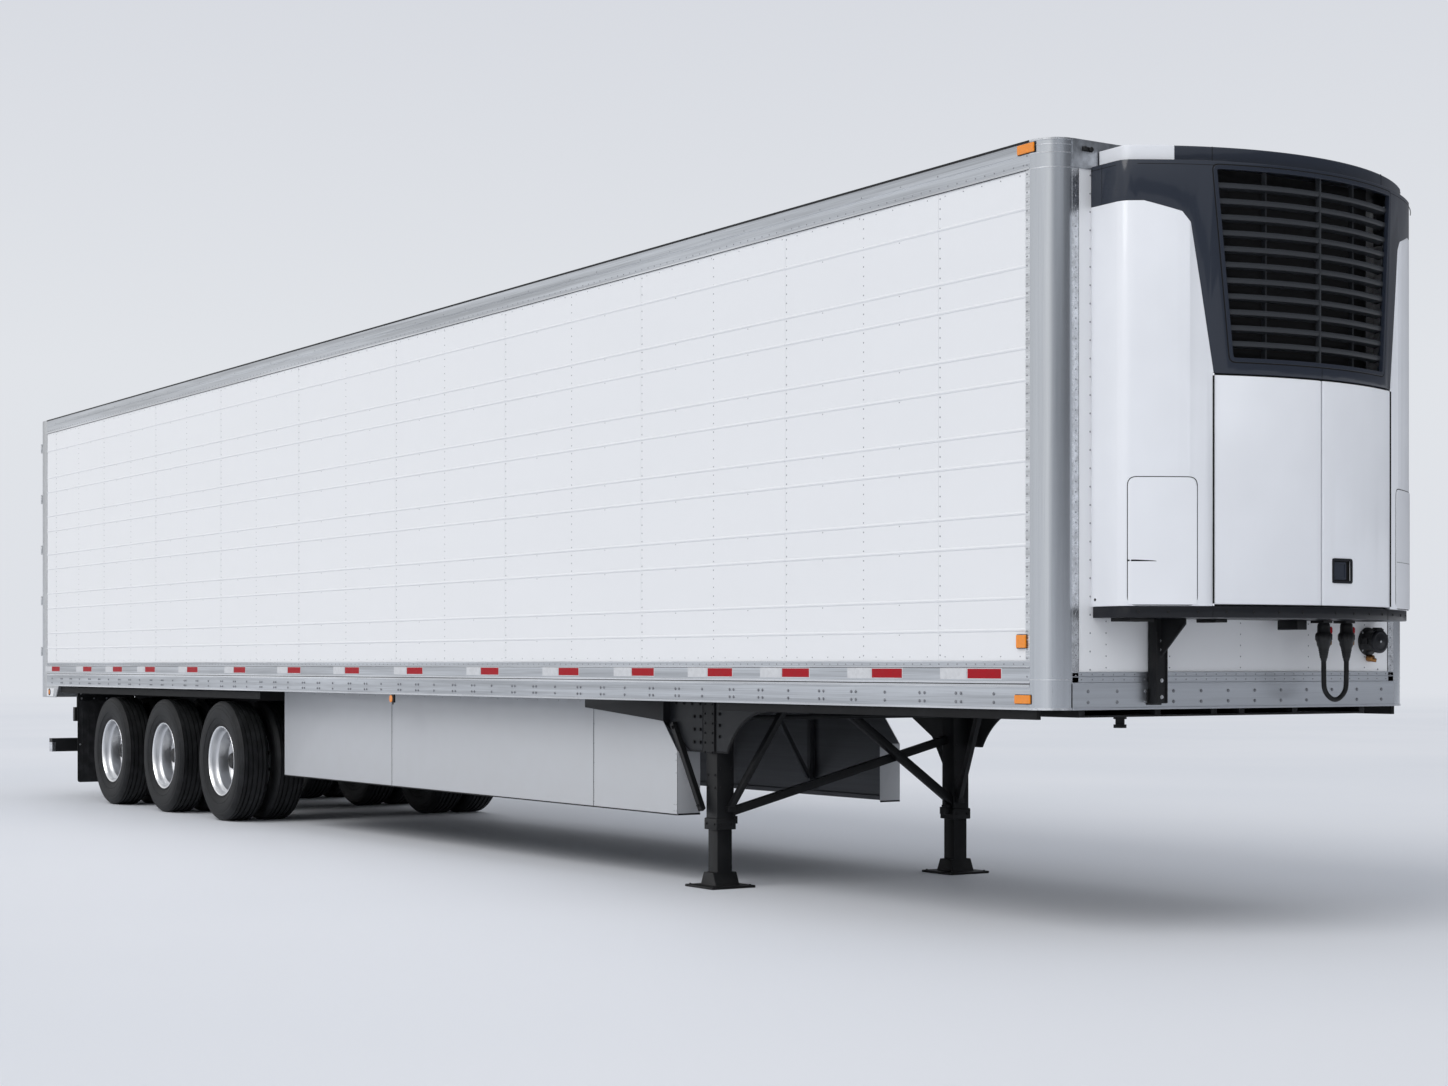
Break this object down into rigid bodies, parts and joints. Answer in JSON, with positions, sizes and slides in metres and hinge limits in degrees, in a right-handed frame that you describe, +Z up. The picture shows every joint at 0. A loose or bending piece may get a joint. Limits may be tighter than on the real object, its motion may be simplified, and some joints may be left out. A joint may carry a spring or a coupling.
{
  "type": "semi trailer with a refrigeration unit",
  "caption": "Insulated box semi trailer with twin wheels, rear swing doors, side skirts, landing legs and a front-mounted refrigeration unit.",
  "frame": {"origin": "on the ground, middle of the overall length and width", "axes": "+X forward to the refrigeration unit, +Y to the trailer's left, +Z up"},
  "size_m": [16.932, 2.624, 3.98],
  "materials": {
    "panel_white": "smooth white painted sheet",
    "rail_aluminium": "brushed extrusion",
    "door_white": "smooth white painted sheet",
    "galvanised": "bright zinc",
    "floor_aluminium": "ribbed extrusion",
    "frame_black": "satin black chassis paint",
    "tyre_rubber": "matt black rubber",
    "rim_silver": "machined",
    "skirt_grey": "satin light grey sheet",
    "flap_rubber": "matt black rubber",
    "bellows_rubber": "matt black rubber",
    "tank_paint": "satin black",
    "unit_white": "smooth white panel",
    "shroud_slate": "dark slate, semi gloss",
    "grille_black": "dark grey louvre",
    "base_black": "dark edge strip",
    "engine_grey": "plain block",
    "core_black": "finned core, dark",
    "connector_black": "moulded",
    "cable_black": "rubber sheath",
    "lamp_amber": "amber lens",
    "lamp_red": "red lens"
  },
  "bodies": {
    "trailer_body": {"bottom_rails": "rail_aluminium", "top_rails": "rail_aluminium", "side_wall_left": "panel_white", "side_wall_right": "panel_white", "roof": "panel_white", "floor_deck": "floor_aluminium", "front_wall": "panel_white", "front_corner_posts": "rail_aluminium", "crossmembers": "galvanised", "rear_frame": "galvanised", "axles": "frame_black", "suspension_frame": "frame_black", "suspension_hangers": "frame_black", "trailing_arms": "frame_black", "air_springs": "bellows_rubber", "brake_chambers": "frame_black", "landing_leg_tubes": "frame_black", "landing_leg_feet": "frame_black", "landing_gear_plates": "frame_black", "landing_gear_braces": "frame_black", "landing_gear_crank": "frame_black", "side_skirts": "skirt_grey", "skirt_posts": "galvanised", "air_tanks": "tank_paint", "fuel_tank": "tank_paint", "rear_bumper": "frame_black", "mud_flaps": "flap_rubber", "mud_flap_hangers": "frame_black", "coupler_plate": "frame_black", "kingpin": "frame_black", "unit_side_panels": "unit_white", "unit_shroud": "shroud_slate", "unit_grille": "grille_black", "unit_base": "base_black", "unit_cap": "shroud_slate", "unit_condenser": "core_black", "unit_engine": "engine_grey", "unit_supports": "frame_black", "front_connectors": "connector_black", "power_cable": "cable_black", "marker_lamps": "lamp_amber", "rear_lamps": "lamp_red"},
    "rear_door_left": {"rear_door_left": "door_white", "rear_door_gear_left": "galvanised"},
    "rear_door_right": {"rear_door_right": "door_white", "rear_door_gear_right": "galvanised"},
    "unit_door_left": {"unit_door_left": "unit_white"},
    "unit_door_right": {"unit_door_right": "unit_white"},
    "wheel_rear_left": {"tyres_rear_left": "tyre_rubber", "wheel_rear_left": "rim_silver"},
    "wheel_rear_right": {"tyres_rear_right": "tyre_rubber", "wheel_rear_right": "rim_silver"},
    "wheel_middle_left": {"tyres_middle_left": "tyre_rubber", "wheel_middle_left": "rim_silver"},
    "wheel_middle_right": {"tyres_middle_right": "tyre_rubber", "wheel_middle_right": "rim_silver"},
    "wheel_front_left": {"tyres_front_left": "tyre_rubber", "wheel_front_left": "rim_silver"},
    "wheel_front_right": {"tyres_front_right": "tyre_rubber", "wheel_front_right": "rim_silver"}
  },
  "joints": [
    {"name": "rear_door_left_hinge", "type": "hinge", "parent": "trailer_body", "child": "rear_door_left", "pos_m": [-8.454, 1.288, 2.6], "axis": [0, 0, -1], "range_deg": [0, 270]},
    {"name": "rear_door_right_hinge", "type": "hinge", "parent": "trailer_body", "child": "rear_door_right", "pos_m": [-8.454, -1.288, 2.6], "axis": [0, 0, 1], "range_deg": [0, 270]},
    {"name": "unit_door_left_hinge", "type": "hinge", "parent": "trailer_body", "child": "unit_door_left", "pos_m": [8.34842, 0.63065, 2.24], "axis": [0, 0, 1], "range_deg": [0, 110]},
    {"name": "unit_door_right_hinge", "type": "hinge", "parent": "trailer_body", "child": "unit_door_right", "pos_m": [8.34842, -0.63065, 2.24], "axis": [0, 0, -1], "range_deg": [0, 110]},
    {"name": "wheel_rear_left_spin", "type": "hinge", "parent": "trailer_body", "child": "wheel_rear_left", "pos_m": [-6.244, 0.975, 0.53], "axis": [0, 1, 0], "continuous": true},
    {"name": "wheel_rear_right_spin", "type": "hinge", "parent": "trailer_body", "child": "wheel_rear_right", "pos_m": [-6.244, -0.975, 0.53], "axis": [0, 1, 0], "continuous": true},
    {"name": "wheel_middle_left_spin", "type": "hinge", "parent": "trailer_body", "child": "wheel_middle_left", "pos_m": [-4.764, 0.975, 0.53], "axis": [0, 1, 0], "continuous": true},
    {"name": "wheel_middle_right_spin", "type": "hinge", "parent": "trailer_body", "child": "wheel_middle_right", "pos_m": [-4.764, -0.975, 0.53], "axis": [0, 1, 0], "continuous": true},
    {"name": "wheel_front_left_spin", "type": "hinge", "parent": "trailer_body", "child": "wheel_front_left", "pos_m": [-3.284, 0.975, 0.53], "axis": [0, 1, 0], "continuous": true},
    {"name": "wheel_front_right_spin", "type": "hinge", "parent": "trailer_body", "child": "wheel_front_right", "pos_m": [-3.284, -0.975, 0.53], "axis": [0, 1, 0], "continuous": true}
  ]
}
